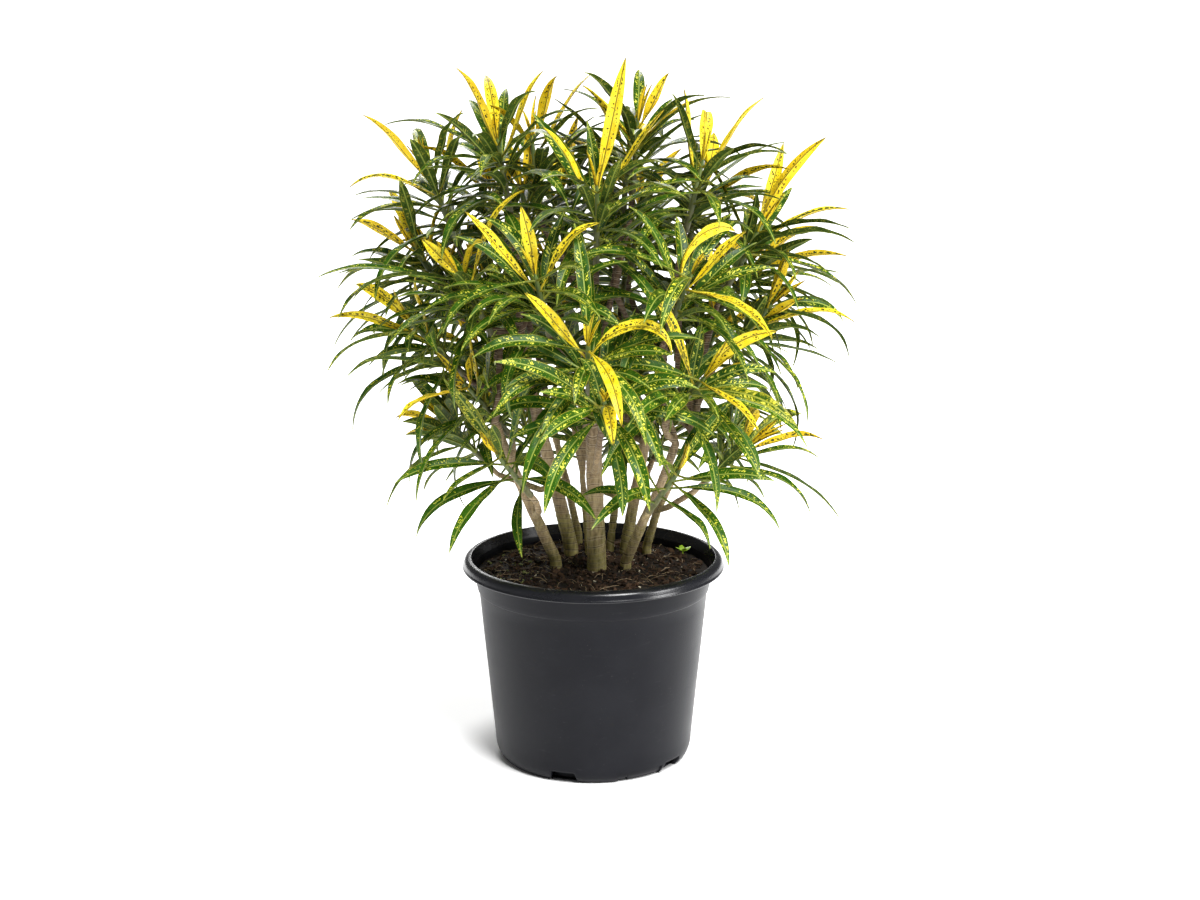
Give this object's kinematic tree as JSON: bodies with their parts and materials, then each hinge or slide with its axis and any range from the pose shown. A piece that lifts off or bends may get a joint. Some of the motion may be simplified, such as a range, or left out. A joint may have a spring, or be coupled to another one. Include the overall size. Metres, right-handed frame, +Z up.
{
  "type": "potted croton",
  "caption": "Bushy potted croton with narrow yellow-speckled leaves on woody stems, growing in a round tapered nursery pot with a rolled lip.",
  "frame": {"origin": "on the ground under the middle of the pot", "axes": "+Z up along the pot's axis; the plant's showing side faces -Y, with +X to its right"},
  "size_m": [0.4199, 0.4074, 0.5656],
  "materials": {
    "pot_plastic": "satin",
    "soil": "matte",
    "bark": "matte",
    "leaf": "satin",
    "seedling": "satin"
  },
  "bodies": {
    "root": {"nursery_pot": "pot_plastic", "potting_soil": "soil", "shoot_far_crown_1": "leaf", "shoot_far_crown_2": "leaf", "shoot_far_crown_3": "leaf", "shoot_far_crown_4": "leaf", "shoot_far_shoulder_1": "leaf", "shoot_far_shoulder_2": "leaf", "shoot_far_shoulder_3": "leaf", "shoot_far_shoulder_4": "leaf", "shoot_far_shoulder_5": "leaf", "shoot_far_shoulder_6": "leaf", "shoot_far_skirt_1": "leaf", "shoot_far_skirt_2": "leaf", "shoot_far_skirt_3": "leaf", "shoot_far_top_1": "leaf", "shoot_far_top_2": "leaf", "shoot_far_waist_1": "leaf", "shoot_far_waist_2": "leaf", "shoot_far_waist_3": "leaf", "shoot_far_waist_4": "leaf", "shoot_front_high_left": "leaf", "shoot_front_high_right": "leaf", "shoot_front_low_left": "leaf", "shoot_front_low_right": "leaf", "shoot_front_middle": "leaf", "shoot_front_top": "leaf", "shoot_front_young": "leaf", "shoot_left_bottom": "leaf", "shoot_left_high": "leaf", "shoot_left_inner": "leaf", "shoot_left_low": "leaf", "shoot_left_shoulder": "leaf", "shoot_left_side": "leaf", "shoot_left_top": "leaf", "shoot_middle_top": "leaf", "shoot_right_bottom": "leaf", "shoot_right_front": "leaf", "shoot_right_shoulder": "leaf", "shoot_right_side": "leaf", "shoot_right_top": "leaf", "shoot_upper_inner": "leaf", "weed_seedling": "seedling", "woody_stem_a": "bark", "woody_stem_b": "bark", "woody_stem_c": "bark", "woody_stem_d": "bark", "woody_stem_e": "bark", "woody_stem_f": "bark", "woody_stem_g": "bark", "woody_stem_h": "bark", "woody_stem_i": "bark"}
  },
  "joints": []
}
